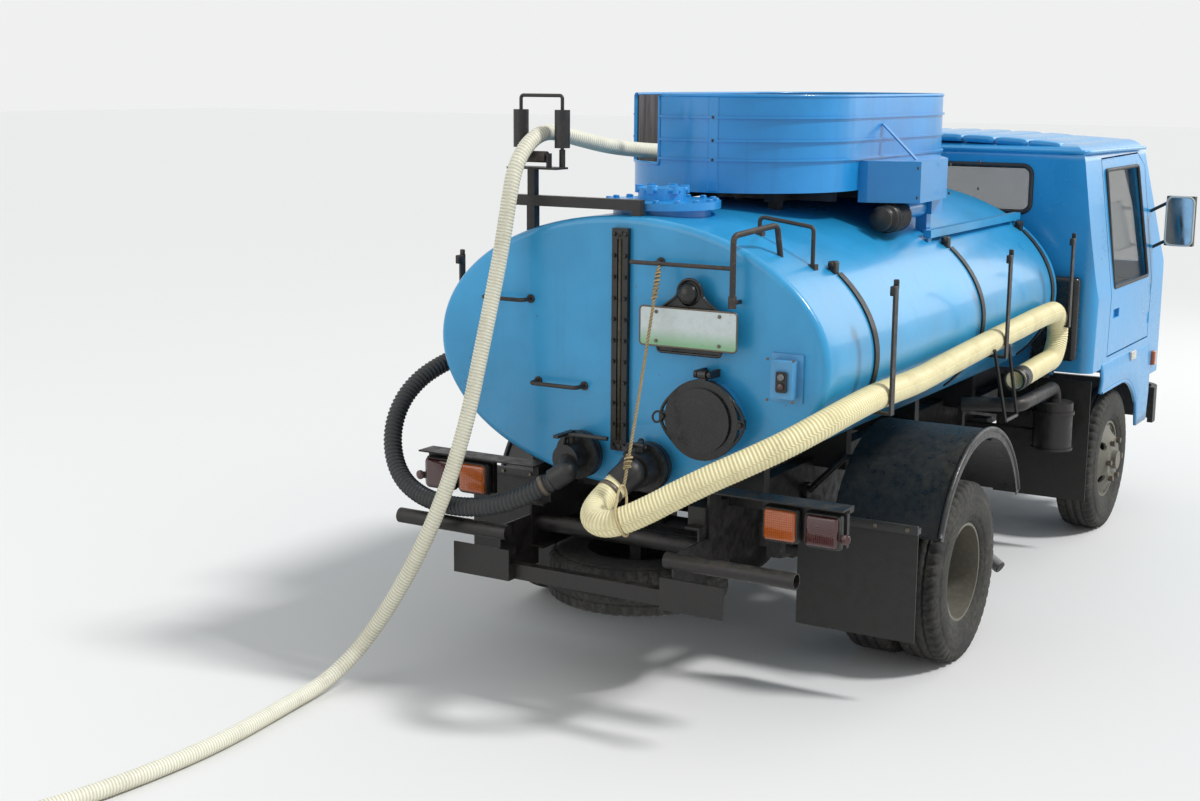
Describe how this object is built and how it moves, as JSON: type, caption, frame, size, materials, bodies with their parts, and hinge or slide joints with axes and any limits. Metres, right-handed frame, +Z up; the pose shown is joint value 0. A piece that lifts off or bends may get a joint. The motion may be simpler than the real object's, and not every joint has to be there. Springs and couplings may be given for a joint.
{
  "type": "vacuum tanker truck",
  "caption": "Light cab-over tanker truck with an oval tank, a hose basin and guide on top, valves and hoses at the rear, twin rear wheels and a tilting cab.",
  "frame": {"origin": "on the ground under the middle of the truck's length and width, the loose hoses left out", "axes": "+X forward, +Y to the truck's left, +Z up"},
  "size_m": [6.8575, 2.39, 2.3109],
  "materials": {
    "blue_paint": "gloss, weathered",
    "cab_paint": "gloss",
    "black_steel": "satin, dusty",
    "tyre": "matte",
    "rim": "satin",
    "rubber": "matte",
    "glass": "clear tint",
    "amber": "lens",
    "white_plastic": "ribbed hose",
    "black_plastic": "moulded",
    "cream_canvas": "ribbed hose",
    "grey_plastic": "moulded",
    "rope_fibre": "twisted",
    "zinc": "plated",
    "cast": "rough",
    "seat_cloth": "woven"
  },
  "bodies": {
    "chassis": {"chassis_frame": "black_steel", "rear_axle": "cast", "front_axle": "cast", "tank_shell": "blue_paint", "tank_saddles": "black_steel", "manhole": "blue_paint", "hose_basin": "blue_paint", "basin_supports": "black_steel", "drive_box": "blue_paint", "roller_guide": "black_steel", "level_gauge": "black_steel", "hatch_hinge": "black_steel", "discharge_valves": "cast", "switch_box": "grey_plastic", "plate_bracket": "black_steel", "head_rails": "black_steel", "straps_and_posts": "black_steel", "side_rails": "blue_paint", "rear_bumper": "black_steel", "lamp_brackets": "black_steel", "tail_lamps": "amber", "mudguards": "black_steel", "mudflaps": "rubber", "spare_wheel": "tyre", "engine_block": "cast", "fuel_tank": "black_steel", "vacuum_line": "black_steel", "exhaust": "cast", "front_bumper": "grey_plastic", "air_intake": "black_plastic", "white_hose": "white_plastic", "hose_coil": "white_plastic", "black_hose": "rubber", "cream_hose": "cream_canvas", "rope": "rope_fibre"},
    "knuckle_left": {"knuckle_left": "cast"},
    "knuckle_right": {"knuckle_right": "cast"},
    "front_wheel_left": {"front_rim_left": "rim", "front_tyre_left": "tyre"},
    "front_wheel_right": {"front_rim_right": "rim", "front_tyre_right": "tyre"},
    "rear_wheels_left": {"rear_rims_left": "rim", "rear_tyres_left": "tyre"},
    "rear_wheels_right": {"rear_rims_right": "rim", "rear_tyres_right": "tyre"},
    "cab": {"cab_shell": "cab_paint", "cab_glass": "glass", "cab_front": "black_plastic", "mirrors": "black_plastic", "cab_interior": "seat_cloth"},
    "door_left": {"door_left": "cab_paint", "door_glass_left": "glass"},
    "door_right": {"door_right": "cab_paint", "door_glass_right": "glass"},
    "hatch_lid": {"hatch_lid": "black_steel"},
    "guide_roller_left": {"guide_roller_left": "rubber"},
    "guide_roller_right": {"guide_roller_right": "rubber"},
    "guide_roller_low": {"guide_roller_low": "rubber"}
  },
  "joints": [
    {"name": "steer_left", "type": "hinge", "parent": "chassis", "child": "knuckle_left", "pos_m": [1.459, 0.748, 0.377], "axis": [0, 0, 1], "range_deg": [-35, 35]},
    {"name": "steer_right", "type": "hinge", "parent": "chassis", "child": "knuckle_right", "pos_m": [1.459, -0.748, 0.377], "axis": [0, 0, 1], "range_deg": [-35, 35]},
    {"name": "front_wheel_left_spin", "type": "hinge", "parent": "knuckle_left", "child": "front_wheel_left", "pos_m": [1.459, 0.86, 0.377], "axis": [0, 1, 0], "continuous": true},
    {"name": "front_wheel_right_spin", "type": "hinge", "parent": "knuckle_right", "child": "front_wheel_right", "pos_m": [1.459, -0.86, 0.377], "axis": [0, 1, 0], "continuous": true},
    {"name": "rear_wheels_left_spin", "type": "hinge", "parent": "chassis", "child": "rear_wheels_left", "pos_m": [-1.041, 0.811, 0.377], "axis": [0, 1, 0], "continuous": true},
    {"name": "rear_wheels_right_spin", "type": "hinge", "parent": "chassis", "child": "rear_wheels_right", "pos_m": [-1.041, -0.811, 0.377], "axis": [0, 1, 0], "continuous": true},
    {"name": "cab_tilt", "type": "hinge", "parent": "chassis", "child": "cab", "pos_m": [2.25, 0, 0.7], "axis": [0, 1, 0], "range_deg": [0, 45]},
    {"name": "door_left_swing", "type": "hinge", "parent": "cab", "child": "door_left", "pos_m": [1.963, 0.992, 1.4], "axis": [0, 0, -1], "range_deg": [0, 70]},
    {"name": "door_right_swing", "type": "hinge", "parent": "cab", "child": "door_right", "pos_m": [1.963, -0.992, 1.4], "axis": [0, 0, 1], "range_deg": [0, 70]},
    {"name": "hatch_swing", "type": "hinge", "parent": "chassis", "child": "hatch_lid", "pos_m": [-2.201, -0.385, 1.313], "axis": [0, 1, 0], "range_deg": [0, 75]},
    {"name": "guide_roller_left_spin", "type": "hinge", "parent": "chassis", "child": "guide_roller_left", "pos_m": [-2.024, 0.525, 2.1775], "axis": [0, 0, 1], "continuous": true},
    {"name": "guide_roller_right_spin", "type": "hinge", "parent": "chassis", "child": "guide_roller_right", "pos_m": [-2.024, 0.335, 2.1775], "axis": [0, 0, 1], "continuous": true},
    {"name": "guide_roller_low_spin", "type": "hinge", "parent": "chassis", "child": "guide_roller_low", "pos_m": [-2.084, 0.43, 2.072], "axis": [0, 1, 0], "continuous": true}
  ],
  "couplings": [
    {"joint": "steer_right", "follows": "steer_left", "ratio": 1}
  ]
}
